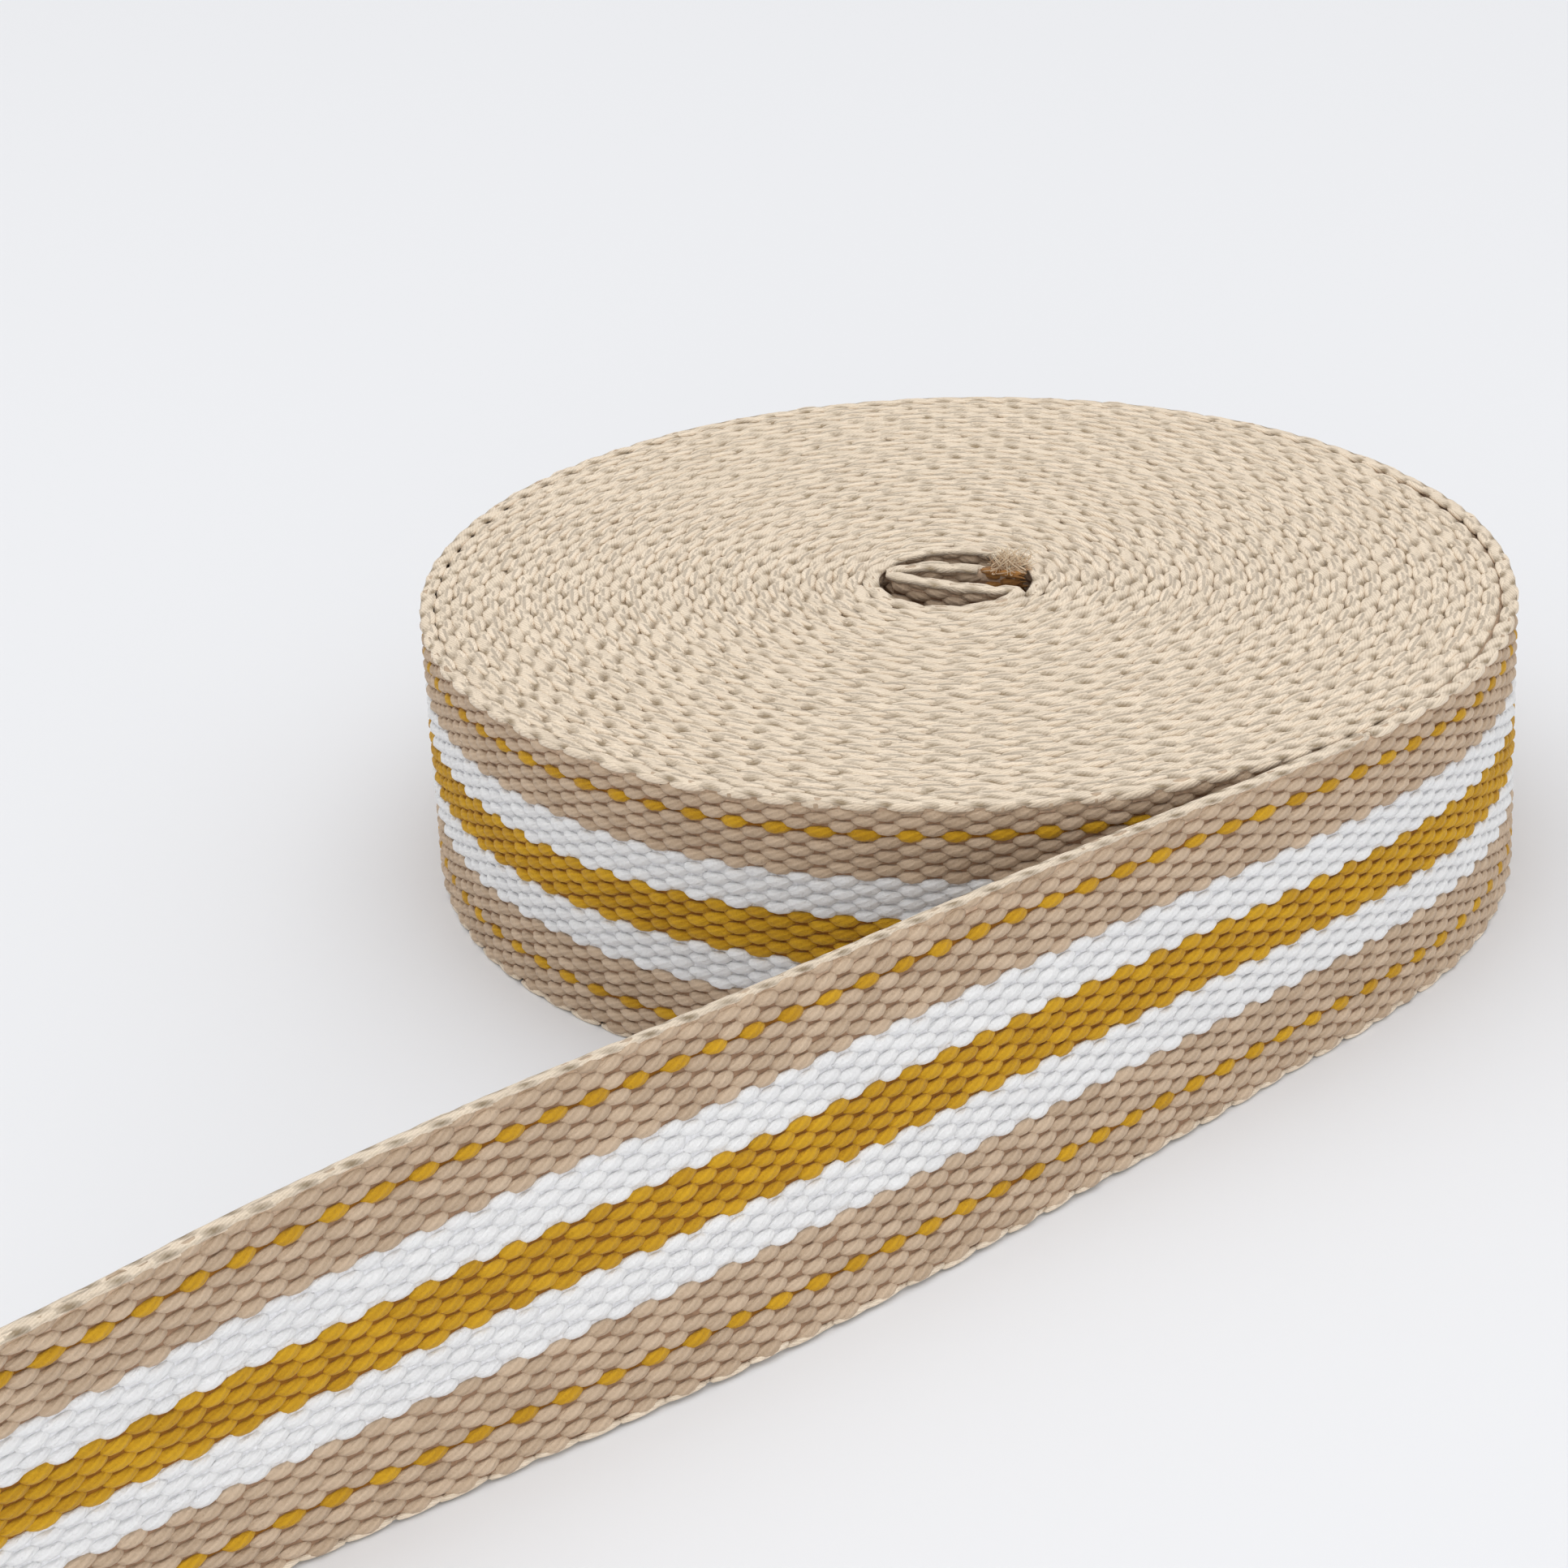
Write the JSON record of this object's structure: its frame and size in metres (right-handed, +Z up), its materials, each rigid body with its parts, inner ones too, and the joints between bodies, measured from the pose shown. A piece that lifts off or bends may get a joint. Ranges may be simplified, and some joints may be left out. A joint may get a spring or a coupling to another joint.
{
  "type": "roll of webbing",
  "caption": "Roll of striped woven cotton webbing lying flat, its outer end led off across the surface on its lower edge.",
  "frame": {"origin": "middle of the whole part's box on the resting surface, under the roll's flat base", "axes": "+Z up, along the roll's axis; -Y towards the viewer of the picture; the loose end runs off towards -X and -Y"},
  "size_m": [0.168, 0.251, 0.038],
  "materials": {
    "beige_yarn": "matte",
    "white_yarn": "matte",
    "mustard_yarn": "matte"
  },
  "bodies": {
    "root": {"wound_roll": "beige_yarn", "loose_end": "beige_yarn"}
  },
  "joints": []
}
